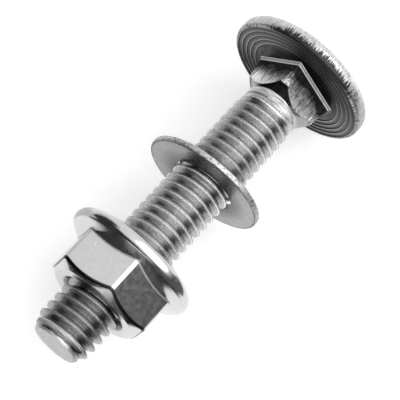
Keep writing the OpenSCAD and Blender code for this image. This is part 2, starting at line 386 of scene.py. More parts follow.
wedge = cells(np.stack([ring_no[-1], wind_no[0]]))
rising = np.concatenate([ring_no[-1, [-1, 0]], wind_no[:LINES + 1, 0]])
seam = np.stack([np.full(len(rising) - 1, wind_no[0, -1]), rising[:-1], rising[1:]], axis=1)
last_loop = np.concatenate([wind_no[-1], wind_no[-2:-LINES - 2:-1, -1]])
end_fan = np.stack([last_loop, np.roll(last_loop, -1), np.full(len(last_loop), hub_no)], axis=1)
apex_fan = np.stack([np.zeros(COLUMNS, int), np.roll(ring_no[0], -1), ring_no[0]], axis=1)
print("bolt has", len(bolt_points), "points")

# %% [markdown]
# ## Steel
#
# All three pieces are stainless steel, and what tells them apart is how they were finished. Steel in a
# photograph is mostly the room mirrored in it, so a finish is a matter of roughness and of fine relief:
# a turned face has rings, a tumbled one has a soft grain, a forged one has dents and scratches. Each
# material below is a metal with a fairly even colour and its own layers of noise.

# %% Nodes
def grey(level):
    """A grey as a colour of four numbers."""
    return (level, level, level, 1.0)


def steel(name, level, roughness):
    """A metal material of an even grey. Returns it with its node tree and its shader."""
    material = bpy.data.materials.new(name)
    material.use_nodes = True
    tree = material.node_tree
    shader = tree.nodes["Principled BSDF"]
    shader.inputs["Base Color"].default_value = grey(level)
    shader.inputs["Metallic"].default_value = 1.0
    shader.inputs["Roughness"].default_value = roughness
    return material, tree, shader


def add_node(tree, kind, **settings):
    """Adds a node and puts the settings on it."""
    node = tree.nodes.new(kind)
    for key, value in settings.items():
        setattr(node, key, value)
    return node


def put(tree, value, socket):
    """Links an output to an input socket, or sets the input to a plain number or colour."""
    if isinstance(value, bpy.types.NodeSocket):
        tree.links.new(value, socket)
    else:
        socket.default_value = value


plain = steel("plain_steel", 0.6, 0.3)[0]
print("a plain steel starts with", len(plain.node_tree.nodes), "nodes")
bpy.data.materials.remove(plain)

# %% [markdown]
# ## Numbers and greys
#
# A finish is a small network of nodes in which the same few steps come again and again: a sum, a range
# that is mapped to another, a list of greys, one colour laid over another. Each step is a function
# here, which adds its node and returns the output, so a finish reads like a formula.

# %% Numbers and greys
def measure(tree, operation, *values):
    """One Math node on sockets or plain numbers."""
    node = add_node(tree, "ShaderNodeMath", operation=operation)
    for value, socket in zip(values, node.inputs):
        put(tree, value, socket)
    return node.outputs[0]


def spread(tree, value, low, high, to_low, to_high):
    """Maps a value from one range to another, held at both ends."""
    node = add_node(tree, "ShaderNodeMapRange")
    names = ("Value", "From Min", "From Max", "To Min", "To Max")
    for name, number in zip(names, (value, low, high, to_low, to_high)):
        put(tree, number, node.inputs[name])
    return node.outputs["Result"]


def ramp(tree, value, stops):
    """Greys from a list of (position, grey), straight between them."""
    node = add_node(tree, "ShaderNodeValToRGB")
    points = node.color_ramp.elements
    while len(points) < len(stops):
        points.new(0.5)
    for point, (position, level) in zip(points, stops):
        point.position = position
        point.color = grey(level)
    tree.links.new(value, node.inputs["Fac"])
    return node.outputs["Color"]


def blended(tree, share, first, second, how="MIX"):
    """A colour made of two: the second lies over the first by a share from 0 to 1."""
    node = add_node(tree, "ShaderNodeMix", data_type="RGBA", blend_type=how)
    for name, value in (("Factor", share), ("A", first), ("B", second)):
        put(tree, value, node.inputs[name])
    return node.outputs["Result"]


def dimmed(tree, colour, by):
    """A colour multiplied by a number or by another colour."""
    return blended(tree, 1.0, colour, by, "MULTIPLY")


def nodes_added(helper, *values):
    """How many nodes a helper adds to a fresh steel."""
    material, tree = steel("trial_steel", 0.6, 0.3)[:2]
    before = len(tree.nodes)
    helper(tree, *values)
    added = len(tree.nodes) - before
    bpy.data.materials.remove(material)
    return added


print("a sum adds", nodes_added(measure, "ADD", 1.0, 2.0), "node")

# %% [markdown]
# ## Places on a turned piece
#
# A noise has to know where it is. Object coordinates are in metres, so a scale of 1000 gives waves of
# about a millimetre. On a turned surface the marks have to go round with it. There the place is the
# direction out from the axis, which changes only round the piece, and x less the radius, which changes
# along the shank as well as across a face.

# %% Places
def stretched(tree, scale=(1, 1, 1)):
    """Object coordinates with each axis scaled by its own factor."""
    place = add_node(tree, "ShaderNodeTexCoord")
    mapping = add_node(tree, "ShaderNodeMapping")
    mapping.inputs["Scale"].default_value = scale
    tree.links.new(place.outputs["Object"], mapping.inputs["Vector"])
    return mapping.outputs["Vector"]


def along_axis(tree):
    """The place along the bolt's axis, in metres."""
    split = add_node(tree, "ShaderNodeSeparateXYZ")
    tree.links.new(stretched(tree), split.inputs[0])
    return split.outputs["X"]


def out_from_axis(tree):
    """Distance from the bolt's axis, and the unit vector that points out from it."""
    across = stretched(tree, (0, 1, 1))
    length = add_node(tree, "ShaderNodeVectorMath", operation="LENGTH")
    unit = add_node(tree, "ShaderNodeVectorMath", operation="NORMALIZE")
    tree.links.new(across, length.inputs[0])
    tree.links.new(across, unit.inputs[0])
    return length.outputs["Value"], unit.outputs["Vector"]


def towards(tree, unit, angle):
    """How far a unit vector points one way: 1 along it and 0 across. The angle is from +Y towards +Z."""
    facing = add_node(tree, "ShaderNodeVectorMath", operation="DOT_PRODUCT")
    turn = math.radians(angle)
    tree.links.new(unit, facing.inputs[0])
    facing.inputs[1].default_value = (0.0, math.cos(turn), math.sin(turn))
    return facing.outputs["Value"]


def read_mark(tree, name):
    """The number that the mesh carries at each point under a name."""
    return add_node(tree, "ShaderNodeAttribute", attribute_name=name).outputs["Fac"]


print("distance and direction from the axis add", nodes_added(out_from_axis), "nodes")

# %% Noise and relief
def noise(tree, scale, detail=4.0, rough=0.6, where=None):
    """Noise of so many waves in a metre, on object coordinates or on another place."""
    node = add_node(tree, "ShaderNodeTexNoise")
    node.inputs["Scale"].default_value = scale
    node.inputs["Detail"].default_value = detail
    node.inputs["Roughness"].default_value = rough
    tree.links.new(stretched(tree) if where is None else where, node.inputs["Vector"])
    return node.outputs["Fac"]


def wound_noise(tree, around, across, detail=3.0, rough=0.6):
    """Noise that goes round with the surface: around scales the turn, across scales x less radius."""
    radius, unit = out_from_axis(tree)
    run = measure(tree, "MULTIPLY", measure(tree, "SUBTRACT", along_axis(tree), radius), across)
    scaled = add_node(tree, "ShaderNodeVectorMath", operation="SCALE")
    scaled.inputs["Scale"].default_value = around
    tree.links.new(unit, scaled.inputs[0])
    shift = add_node(tree, "ShaderNodeCombineXYZ")
    tree.links.new(run, shift.inputs["X"])
    total = add_node(tree, "ShaderNodeVectorMath", operation="ADD")
    tree.links.new(scaled.outputs["Vector"], total.inputs[0])
    tree.links.new(shift.outputs["Vector"], total.inputs[1])
    return noise(tree, 1.0, detail, rough, total.outputs["Vector"])


def dress(tree, shader, colour, roughness, layers):
    """Links a colour, a roughness and relief to the shader.

    Each layer of relief is a height socket, a depth in millimetres and a strength, as one Bump node.
    """
    tree.links.new(colour, shader.inputs["Base Color"])
    tree.links.new(roughness, shader.inputs["Roughness"])
    normal = None
    for height, depth, strength in layers:
        bump = add_node(tree, "ShaderNodeBump")
        bump.inputs["Distance"].default_value = depth * MM
        bump.inputs["Strength"].default_value = strength
        tree.links.new(height, bump.inputs["Height"])
        if normal is not None:
            tree.links.new(normal, bump.inputs["Normal"])
        normal = bump.outputs["Normal"]
    tree.links.new(normal, shader.inputs["Normal"])


print("noise that goes round adds", nodes_added(wound_noise, 1.0, 1.0), "nodes")

# %% [markdown]
# ## The turned underside
#
# A lathe tool has left five rings under the head. Seen from a step away, each one is a dark wall, a
# thin bright edge and a grey slope. The rings' relief is in the mesh, but it is only 0.12 mm deep, so
# the material adds a ramp of greys by the distance from the axis, which keeps every line crisp: painted
# shade on each wall and a painted highlight on each edge. The smooth zone inside the rings is painted
# darker as shade under the head, and one side of the whole face is painted darker as shade.

# %% Turned underside of the head
def turned_finish():
    """Steel with turned rings: painted shade on each wall, a painted highlight on each edge, a grey slope
    between, and painted shade on the smooth zone and one side.
    """
    material, tree, shader = steel("turned_steel", 0.4, 0.3)
    radius, unit = out_from_axis(tree)
    wobble = spread(tree, noise(tree, 250.0, 2.0), 0.3, 0.7, -0.04 * MM, 0.04 * MM)
    first = (RING_FIRST_R - 2 * RING_PITCH) * MM
    from_first = measure(tree, "SUBTRACT", measure(tree, "ADD", radius, wobble), first)
    phase = measure(tree, "FRACT", measure(tree, "DIVIDE", from_first, RING_PITCH * MM))
    # painted shade on each ring's wall and a painted highlight on its edge
    ring = ramp(tree, phase, [(0.0, 0.09), (0.05, 0.02), (0.19, 0.03), (0.24, 0.5), (0.28, 0.4),
                              (0.34, 0.12), (0.75, 0.07), (1.0, 0.04)])
    in_rings = spread(tree, radius, (RING_FIRST_R - 0.12) * MM, (RING_FIRST_R - 0.08) * MM, 0, 1)
    # the smooth zone inside the rings, painted dark as shade under the head
    shaded_smooth_zone = spread(tree, wound_noise(tree, 3.0, 2500.0), 0.35, 0.7, 0.015, 0.07)
    rings_before_side_shade = blended(tree, in_rings, shaded_smooth_zone, ring)
    # one side of the face painted darker as shade
    side_shaded = dimmed(tree, rings_before_side_shade, spread(tree, towards(tree, unit, 50), 0.2, 0.85, 1.0, 0.4))
    marks = wound_noise(tree, 2.0, 16000.0)
    grain = noise(tree, 7000.0)
    dress(tree, shader, side_shaded, spread(tree, grain, 0.3, 0.7, 0.22, 0.42),
          [(marks, 0.006, 0.8), (grain, 0.003, 0.8)])
    return material


turned_steel = turned_finish()
print("turned steel has", len(turned_steel.node_tree.nodes), "nodes")

# %% [markdown]
# ## The rim and the dome
#
# The head was pressed and then tumbled, which leaves short scratches that run outwards, and grey
# speckles. Along the rim's inner edge a dark, less metallic band is painted shade, wider on one side
# than on the other, and the rim is painted lighter on one side and darker on the other, as light falls
# on it. The scratches are noise that is squeezed round the axis and drawn out across the rim. The
# shade band's edge is a limit in x that the same noise pushes about. Towards the crown the scratches
# fade into speckles and shallow dents, as nothing drew them inwards.

# %% Rim and dome
def rim_finish():
    """Pressed steel with hair scratches across the rim, speckles, painted shade in a ragged band at its inner
    edge, and painted light on one side.
    """
    material, tree, shader = steel("rim_steel", 0.62, 0.25)
    radius, unit = out_from_axis(tree)
    on_rim = spread(tree, radius, 5.0 * MM, 8.2 * MM, 0, 1)
    all_hair = wound_noise(tree, 55.0, 500.0, 5.0, 0.7)
    hair = measure(tree, "MULTIPLY_ADD", measure(tree, "SUBTRACT", all_hair, 0.5), on_rim, 0.5)
    dome_dent = measure(tree, "MULTIPLY", noise(tree, 1100.0, 3.0), measure(tree, "SUBTRACT", 1.0, on_rim))
    speckle = noise(tree, 5200.0, 4.0, 0.7)
    both = measure(tree, "MULTIPLY_ADD", hair, 0.6, measure(tree, "MULTIPLY", speckle, 0.4))
    ragged = measure(tree, "ADD", along_axis(tree), spread(tree, hair, 0.3, 0.7, -0.8 * MM, 0.8 * MM))
    facing = towards(tree, unit, 76)
    # painted shade: a dark band at the rim's inner edge, wider on one side
    shade_limit = measure(tree, "ADD", ragged, spread(tree, facing, 0.7, 0.9, -0.3 * MM, 0.6 * MM))
    band = spread(tree, shade_limit, -0.35 * MM, -0.2 * MM, 0, 1)
    # painted light: the rim lighter on one side and darker on the other
    painted_side_light = measure(tree, "MULTIPLY", spread(tree, facing, 0.3, 0.8, -0.4, 0.15), on_rim)
    pressed = ramp(tree, both, [(0.36, 0.22), (0.46, 0.5), (0.6, 0.74)])
    lit = dimmed(tree, pressed, measure(tree, "ADD", painted_side_light, 1.0))
    tree.links.new(spread(tree, band, 0, 1, 1.0, 0.25), shader.inputs["Metallic"])
    dress(tree, shader, blended(tree, band, lit, grey(0.015)), spread(tree, speckle, 0.3, 0.7, 0.16, 0.4),
          [(hair, 0.03, 1.0), (speckle, 0.015, 1.0), (dome_dent, 0.03, 0.8)])
    return material


rim_steel = rim_finish()
print("rim steel has", len(rim_steel.node_tree.nodes), "nodes")

# %% [markdown]
# ## The forged neck
#
# The neck keeps its forging skin: flats that are dark by the head, partly scale and partly painted
# shade of the hollow under the head, and brushed bright towards the thread; a cone round the corners
# painted dark as shade on the side that faces up; pits in the blunt corners; and on the ledge at the
# foot, two painted highlight lines with painted shade between. The zones lie along the axis, and a soft
# noise moves their limits. Scale is no bare metal, so where the neck is dark its material is also less
# metallic, and mirrors less.

# %% Forged neck
def neck_finish():
    """Forged steel: soft dents, streaks along the bolt, pits in the corners, painted shade by the head and on
    one side of the cone, and painted highlights on the ledge.
    """
    material, tree, shader = steel("neck_steel", 0.5, 0.3)
    streak = noise(tree, 3600.0, 5.0, 0.65, stretched(tree, (0.25, 1, 1)))
    dent = noise(tree, 900.0, 3.0)
    speck = noise(tree, 6500.0, 3.0, 0.7)
    patch = noise(tree, 420.0, 2.0)
    both = measure(tree, "MULTIPLY_ADD", streak, 0.2, measure(tree, "MULTIPLY", patch, 0.8))
    x = along_axis(tree)
    radius, unit = out_from_axis(tree)
    place = spread(tree, x, 0.0, 4.0 * MM, 0.0, 1.0)
    at_corner = spread(tree, radius, 4.5 * MM, 4.62 * MM, 0.0, 1.0)
    held_back = measure(tree, "SUBTRACT", place, measure(tree, "MULTIPLY", at_corner, 0.08))
    ragged = measure(tree, "ADD", held_back, spread(tree, both, 0.35, 0.65, -0.16, 0.16))
    # dark by the head: partly scale, partly painted shade of the hollow under the head
    flats = ramp(tree, ragged, [(0.0, 0.02), (0.32, 0.03), (0.44, 0.35), (0.6, 0.82), (1.0, 0.82)])
    brushed_and_shaded = dimmed(tree, flats, ramp(tree, streak, [(0.36, 0.35), (0.5, 0.85), (0.6, 1.0)]))
    cone_from = (NECK_LEN + NECK_CORNER_R) * MM
    on_cone = spread(tree, measure(tree, "ADD", x, radius), cone_from - 0.05 * MM, cone_from, 0, 1)
    # the cone painted dark as shade on the side that faces up
    cone = spread(tree, towards(tree, unit, 90), 0.6, 0.8, 0.35, 0.02)
    pits = ramp(tree, speck, [(0.4, 0.12), (0.5, 0.8), (0.6, 1.0)])
    body = blended(tree, at_corner, blended(tree, on_cone, brushed_and_shaded, cone), pits, "MULTIPLY")
    # painted highlight lines on the ledge's two edges, painted shade on its slope
    on_ledge = spread(tree, place, 0.085, 0.095, 1.0, 0.0)
    ledge = ramp(tree, place, [(0.0, 0.75), (0.012, 0.75), (0.02, 0.3),
                               (0.06, 0.3), (0.07, 0.8), (0.09, 0.8)])
    pitted = measure(tree, "MULTIPLY", speck, at_corner)
    tree.links.new(ramp(tree, ragged, [(0.2, 0.3), (0.45, 1.0)]), shader.inputs["Metallic"])
    dress(tree, shader, blended(tree, on_ledge, body, ledge), spread(tree, dent, 0.35, 0.65, 0.2, 0.42),
          [(dent, 0.04, 0.8), (streak, 0.012, 0.8), (speck, 0.005, 1.0), (pitted, 0.05, 1.0)])
    return material


neck_steel = neck_finish()
print("neck steel has", len(neck_steel.node_tree.nodes), "nodes")

# %% [markdown]
# ## The rolled thread's steel
#
# Rolling squeezes the steel up on both sides of each groove, and a fine seam stays where the waves meet
# on the crest. Two bright lines along each crest are painted highlights, the roots are painted dark as
# shade, and the thread is painted darker towards the free end, as shade. No formula in x alone gives
# the distance from a crest, because the thread winds, so the mesh carries that distance as an attribute
# and the material turns it into greys. A second attribute marks the plain band and the chamfer, which
# no roller touched.

# %% Rolled thread
def thread_finish():
    """Rolled steel: grainy grey flanks, roots painted dark as shade, painted shade towards the free end, and
    two painted highlight lines along each crest.
    """
    material, tree, shader = steel("thread_steel", 0.5, 0.3)
    away = read_mark(tree, "from_crest")
    unrolled_part = read_mark(tree, "unrolled")
    # painted highlights on the two crest lines, painted shade in the roots
    line = ramp(tree, away, [(0.0, 0.3), (0.035, 0.3), (0.06, 1.0), (0.115, 1.0), (0.14, 0.54),
                             (0.3, 0.52), (0.42, 0.3), (0.5, 0.1)])
    on_line = ramp(tree, away, [(0.03, 0.0), (0.06, 1.0), (0.115, 1.0), (0.14, 0.0)])
    grain = noise(tree, 6500.0, 4.0, 0.7)
    speckled = dimmed(tree, line, ramp(tree, grain, [(0.36, 0.45), (0.5, 0.9), (0.62, 1.1)]))
    # painted shade towards the free end
    shaded_free_end = dimmed(tree, speckled, spread(tree, along_axis(tree), 34 * MM, 39 * MM, 1.0, 0.68))
    fine_lines = ramp(tree, wound_noise(tree, 2.0, 9000.0), [(0.38, 0.25), (0.48, 0.6), (0.62, 0.85)])
    even = spread(tree, noise(tree, 500.0, 2.0), 0.3, 0.7, 0.24, 0.32)
    lined = measure(tree, "MULTIPLY_ADD", on_line, 0.25, even)
    dress(tree, shader, blended(tree, unrolled_part, shaded_free_end, fine_lines),
          measure(tree, "MULTIPLY_ADD", unrolled_part, 0.22, lined), [(grain, 0.006, 1.0)])
    return material


thread_steel = thread_finish()
print("thread steel has", len(thread_steel.node_tree.nodes), "nodes")

# %% [markdown]
# ## The tumbled washer's steel
#
# The washer was stamped from sheet and tumbled. Its faces have an even fine grain and are painted
# darker towards the bore, as shade by the thread. The punch tore its edge, and light flecks lie on it;
# a thin dark line where the rounded edge starts is painted shade. The washer hangs a little off the
# bolt's axis, so its mesh carries the distance from its own centre.

# %% Tumbled washer
def washer_finish():
    """Tumbled steel: an even fine grain, a few soft clouds, painted shade towards the bore, and a torn,
    speckled edge with a painted shade line.
    """
    material, tree, shader = steel("washer_steel", 0.5, 0.35)
    radius = read_mark(tree, "own_radius")
    grain = noise(tree, 7000.0, 4.0, 0.7)
    # painted shade: the face darker towards the bore
    face = dimmed(tree, ramp(tree, grain, [(0.3, 0.2), (0.5, 0.34), (0.66, 0.46)]),
                  spread(tree, radius, 4.4, 6.4, 0.4, 1.0))
    rough_edge = measure(tree, "ADD", radius, spread(tree, grain, 0.3, 0.7, -0.03, 0.03))
    share = spread(tree, rough_edge, WASHER_R - 0.4, WASHER_R, 0, 1)
    flecks = ramp(tree, noise(tree, 3200.0, 4.0, 0.75), [(0.4, 0.3), (0.48, 0.8), (0.6, 1.0)])
    # a painted shade line where the rounded edge starts; the light flecks are the edge's own
    edge = dimmed(tree, ramp(tree, share, [(0.3, 0.4), (0.45, 0.14), (0.6, 0.14), (0.75, 0.6)]), flecks)
    on_edge = ramp(tree, share, [(0.0, 0.0), (0.3, 1.0)])
    at_edge = spread(tree, radius, WASHER_R - 0.5, WASHER_R - 0.15, 0, 1)
    even = spread(tree, noise(tree, 300.0, 3.0), 0.3, 0.7, 0.22, 0.32)
    torn = measure(tree, "MULTIPLY", wound_noise(tree, 40.0, 1500.0, 4.0, 0.7), at_edge)
    dress(tree, shader, blended(tree, on_edge, face, edge),
          measure(tree, "MULTIPLY_ADD", at_edge, 0.18, even), [(torn, 0.03, 1.0), (grain, 0.005, 1.0)])
    return material


washer_steel = washer_finish()
print("washer steel has", len(washer_steel.node_tree.nodes), "nodes")

# %% [markdown]
# ## The satin nut's steel
#
# The nut is the smoothest piece, with a faint mottle and a few bright specks. The eased edge between
# each flat and the top's cone turns through so many directions that it mirrors dark surroundings all
# along, so its colour is painted dark as that reflection, and the fillet at the foot of the flats is a
# thin grey line. Both follow rows of the mesh, so an attribute marks them: 1 on the eased edge, -1 on
# the foot. The bore is painted darker as shade.

# %% Satin nut
def nut_finish():
    """Smooth forged steel with a faint mottle, a few bright specks, a bore painted dark as shade, an eased
    edge painted dark as a reflection, and a grey foot line.
    """
    material, tree, shader = steel("nut_steel", 0.62, 0.2)
    mottle = noise(tree, 1600.0)
    grain = noise(tree, 8000.0, 3.0)
    edge = read_mark(tree, "eased_edge")
    shaded_bore = spread(tree, out_from_axis(tree)[0], 4.35 * MM, 4.6 * MM, 1.0, 0.0)
    on_speck = spread(tree, noise(tree, 3800.0, 1.0, 0.5), 0.745, 0.765, 0, 1)
    eased_reflection_mask, on_foot = spread(tree, edge, 0.2, 0.8, 0, 1), spread(tree, edge, -0.2, -0.8, 0, 1)
    colour = ramp(tree, mottle, [(0.35, 0.6), (0.65, 0.65)])
    # painted shade in the bore and a painted dark reflection on the eased edge
    for share, level in ((shaded_bore, 0.2), (on_speck, 0.95), (eased_reflection_mask, 0.06), (on_foot, 0.5)):
        colour = blended(tree, share, colour, grey(level))
    worn = spread(tree, edge, 0, -1, 0, 0.35)
    dress(tree, shader, colour, measure(tree, "ADD", spread(tree, mottle, 0.3, 0.7, 0.14, 0.24), worn),
          [(mottle, 0.001, 0.5), (grain, 0.0015, 1.0)])
    return material


nut_steel = nut_finish()
print("nut steel has", len(nut_steel.node_tree.nodes), "nodes")

# %% [markdown]
# ## Dressing the bolt
#
# The bolt's one mesh takes four of these finishes, each on its own rows: rim and dome, turned
# underside, neck, and thread. The skin then stands for the CAD bolt, which stays hidden in the frame
# for collision, and rides on the same body.

# %% Make the bolt
dome_rows = len(dome) + len(bead) + len(corner) - 4
turned_end = len(head_rows)
neck_end = len(ring_rows) - 2
bolt_groups = [
    apex_fan, ring_faces[:dome_rows].reshape(-1, 4),
    ring_faces[dome_rows:turned_end].reshape(-1, 4),
    ring_faces[turned_end:neck_end].reshape(-1, 4),
    ring_faces[neck_end:].reshape(-1, 4), wedge, seam, wound_faces, end_fan,
]
GROUP_STEEL = [rim_steel, rim_steel, turned_steel, neck_steel] + [thread_steel] * 5
bolt_mark = np.full(len(bolt_points), PLAIN_MARK)
bolt_mark[1 + ring_no.size:-1] = shank_mark.ravel()
unrolled = np.ones(len(bolt_points))
unrolled[1 + ring_no.size:-1] = unrolled_mark.ravel()
unrolled[-1] = 0.0
bolt_piece = add_piece("bolt_skin", bolt_points, bolt_groups, GROUP_STEEL,
                       marks={"from_crest": bolt_mark, "unrolled": unrolled})
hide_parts("bolt")
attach(bolt_piece, "bolt")

# %% [markdown]
# ## The washer
#
# A stamped washer is a flat ring with soft outer edges. Its section is swept round the washer's own
# axis. Then the ring is leaned and turned to lie in line with the thread that it hangs on, and moved to
# its place. The numbers are the CAD model's.

# %% Washer
washer_profile = np.concatenate([
    [[0.0, WASHER_BORE_R + 0.05], [0.0, WASHER_BORE_R + 0.12], [0.0, WASHER_R - WASHER_ROUND - 0.05]],
    arc(WASHER_ROUND, WASHER_R - WASHER_ROUND, WASHER_ROUND, -90, 0, 7),
    arc(WASHER_T - WASHER_ROUND, WASHER_R - WASHER_ROUND, WASHER_ROUND, 0, 90, 7),
    [[WASHER_T, WASHER_R - WASHER_ROUND - 0.05], [WASHER_T, WASHER_BORE_R + 0.12]],
    [[WASHER_T, WASHER_BORE_R + 0.05], [WASHER_T - 0.02, WASHER_BORE_R + 0.01]],
    [[WASHER_T - 0.06, WASHER_BORE_R], [0.06, WASHER_BORE_R], [0.02, WASHER_BORE_R + 0.01]],
])
lead = math.atan(PITCH / (2 * math.pi * CREST_R))
lean = math.radians(WASHER_LEAN)
lean_matrix = np.array([[math.cos(lean), 0, math.sin(lean)], [0, 1, 0], [-math.sin(lean), 0, math.cos(lean)]])
lead_matrix = np.array([[math.cos(lead), -math.sin(lead), 0], [math.sin(lead), math.cos(lead), 0], [0, 0, 1]])
washer_rows = round_axis(washer_profile[:, :1], washer_profile[:, 1:], EVEN)
washer_points = washer_rows.reshape(-1, 3) @ (lead_matrix @ lean_matrix).T + [WASHER_AT, 0, -WASHER_DROP]
washer_no = np.arange(len(washer_points)).reshape(-1, COLUMNS)
washer_faces = quads(washer_no, np.roll(washer_no, -1, 0))
own_radius = np.repeat(washer_profile[:, 1], COLUMNS)
washer_piece = add_piece("washer_skin", washer_points, [washer_faces], [washer_steel],
                         marks={"own_radius": own_radius})
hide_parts("washer")
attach(washer_piece, "washer")

# %% [markdown]
# ## The flange nut
#
# The nut is forged in one piece: a flange with a rounded edge and a sloping top, and a hexagon on it
# with a cone cut over its top. As on the neck, one row of the grid follows the curve where the flats
# end, and another follows the foot of the hexagon over the flange's slope. Both edges are eased.

# %% Flange of the nut
flange_bead_r = FLANGE_R - FLANGE_ROUND
slope = math.tan(math.radians(FLANGE_SLOPE))
slope_r = flange_bead_r + FLANGE_ROUND * math.sin(math.radians(FLANGE_SLOPE))
slope_at = FLANGE_ROUND * (1 + math.cos(math.radians(FLANGE_SLOPE)))
collar_at = slope_at + (slope_r - NUT_CORNER_R) * slope
collar_slope = COLLAR_H / (NUT_CORNER_R - NUT_HALF)


def flange_height(r):
    """Height of the flange's upper side: the slope out to its bead, and the steeper collar inside."""
    return np.where(r > NUT_CORNER_R, slope_at + (slope_r - r) * slope,
                    collar_at + (NUT_CORNER_R - r) * collar_slope)


mouth_r = BORE_R + COUNTERSINK
nut_even = NUT_CORNER_AT + EVEN
hex_angle, hex_r = blunt_outline(6, HEX_FLAT_SHARE, NUT_HALF, NUT_CORNER_R, NUT_CORNER_AT)
low_profile = np.concatenate([
    [[0.0, mouth_r], [0.0, mouth_r + 0.1], [0.0, flange_bead_r - 0.1]],
    arc(FLANGE_ROUND, flange_bead_r, FLANGE_ROUND, -90, 90 - FLANGE_SLOPE, 13),
    [[slope_at + 0.1 * slope, slope_r - 0.1], [slope_at + 0.6 * slope, slope_r - 0.6]],
])
low_rows = round_axis(low_profile[:, :1], low_profile[:, 1:], nut_even)
foot_out = np.array([0.22, 0.12, 0.05, 0.01, 0.0])[:, None]
foot_up = np.array([0.0, 0.015, 0.06, 0.12, 0.2])[:, None]
foot_x = flange_height(hex_r + foot_out) + foot_up
foot_rows = round_axis(foot_x, hex_r + foot_out, hex_angle)
print("flange slope starts", round(slope_at, 2), "mm up, hexagon's foot", round(float(foot_x.min()), 2))

# %% Hexagon of the nut
EASE = np.array([
    [-0.32, 0.0], [-0.2, 0.012], [-0.1, 0.045], [-0.01, 0.105], [0.06, 0.18], [0.13, 0.27], [0.2, 0.36],
])
top_slope = math.tan(math.radians(TOP_SLOPE))
curve_h = NUT_H - (hex_r - TOP_FACE_R) * top_slope
share = np.array([0.3, 0.6, 0.9])[:, None]
hex_x = foot_x[-1] + (curve_h + EASE[0, 0] - foot_x[-1]) * share
hex_rows = round_axis(hex_x, hex_r, hex_angle)
ease_x = curve_h + EASE[:, :1]
ease_r = hex_r - EASE[:, 1:]
ease_rows = round_axis(ease_x, ease_r, hex_angle)
share = np.array([0.25, 0.6, 0.92])[:, None]
top_x = ease_x[-1] + (NUT_H - ease_x[-1]) * share
top_r = ease_r[-1] + (TOP_FACE_R - ease_r[-1]) * share
top_rows = round_axis(top_x, top_r, hex_angle + (nut_even - hex_angle) * share)
high_profile = np.array([
    [NUT_H, TOP_FACE_R], [NUT_H, TOP_FACE_R - 0.1], [NUT_H, mouth_r + 0.1],
    [NUT_H - 0.01, mouth_r + 0.02], [NUT_H - 0.05, mouth_r - 0.04],
    [NUT_H - COUNTERSINK, BORE_R], [COUNTERSINK, BORE_R], [0.04, mouth_r - 0.04],
])
high_rows = round_axis(high_profile[:, :1], high_profile[:, 1:], nut_even)
print("flats end", round(float(curve_h.min()), 2), "to", round(float(curve_h.max()), 2), "mm up")

# %% Make the nut
nut_rows = np.concatenate([low_rows, foot_rows, hex_rows, ease_rows, top_rows, high_rows])
nut_points = nut_rows.reshape(-1, 3) + [NUT_AT, 0, 0]
nut_no = np.arange(len(nut_points)).reshape(-1, COLUMNS)
eased_edge = np.zeros(nut_no.shape)
first_eased = len(low_rows) + len(foot_rows) + len(hex_rows)
eased_edge[first_eased + 1:first_eased + len(EASE) - 2] = 1.0
eased_edge[len(low_rows) + 2:len(low_rows) + 4] = -1.0
nut_piece = add_piece("nut_skin", nut_points, [quads(nut_no, np.roll(nut_no, -1, 0))], [nut_steel],
                      marks={"eased_edge": eased_edge})
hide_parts("flange_nut")
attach(nut_piece, "nut")

# %% [markdown]
# ## The nut's own thread
#
# The CAD nut has a plain bore, because its travel is a plain slide. Here it gets its thread: one ridge
# that winds through the bore, in the bolt's groove and a little narrower than it. At both ends the
# ridge is cut back by the countersink's cone. Its section is closed and its two ends have caps.

# %% Nut thread
SECTION = np.array([
    [-0.45, 4.2], [-0.45, 4.03], [-0.385, 3.85], [-0.19, 3.42], [-0.15, 3.40],
    [0.15, 3.40], [0.19, 3.42], [0.385, 3.85], [0.45, 4.03], [0.45, 4.2],
])
SECTION_STEP, RIDGE_GAP = 5.0, 0.01
groove_at = CREST_AT + PITCH / 2
steps_a_mm = 360 / SECTION_STEP / PITCH
first_step = math.ceil((NUT_AT + COUNTERSINK - groove_at) * steps_a_mm)
last_step = math.floor((NUT_AT + NUT_H - COUNTERSINK - groove_at) * steps_a_mm)
wind = SECTION_STEP * np.arange(first_step, last_step + 1)[:, None]
ridge_x = groove_at + PITCH * (wind / 360 + SECTION[:, 0])
depth_in = np.minimum(ridge_x - NUT_AT, NUT_AT + NUT_H - ridge_x)
ridge_r = np.maximum(SECTION[:, 1], mouth_r - np.maximum(depth_in, 0) + RIDGE_GAP)
ridge_points = round_axis(ridge_x, ridge_r, wind).reshape(-1, 3)
ridge_no = np.arange(len(ridge_points)).reshape(len(wind), -1)
ridge_faces = quads(ridge_no[:-1], ridge_no[1:])
caps = np.stack([ridge_no[0], ridge_no[-1, ::-1]])
ridge_piece = add_piece("nut_thread", ridge_points, [ridge_faces, caps], [nut_steel] * 2)
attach(ridge_piece, "nut")

# %% [markdown]
# ## Floor and light
#
# The floor touches the two things that the bolt rests on, the head's rim and the nut's flange, so it
# is tipped by the small angle between them. It shows white to the camera and in the steel's mirror,
# and keeps the soft shadow. The light is a pale room with large soft panels.

# %% Floor
REST_HEAD = (-0.7, -HEAD_R)
REST_NUT = (NUT_AT + FLANGE_ROUND, -FLANGE_R)
FLOOR_REACH, FLOOR_GAP, PAPER_GREY, FLOOR_GLOW = 2000.0, 0.01, 0.8, 0.45
floor_tilt = (REST_NUT[1] - REST_HEAD[1]) / (REST_NUT[0] - REST_HEAD[0])
print("floor tilt in degrees:", round(math.degrees(math.atan(floor_tilt)), 2))


def floor_height(x):
    """Height of the plane that touches the head's rim and the nut's flange."""
    return REST_HEAD[1] + (x - REST_HEAD[0]) * floor_tilt


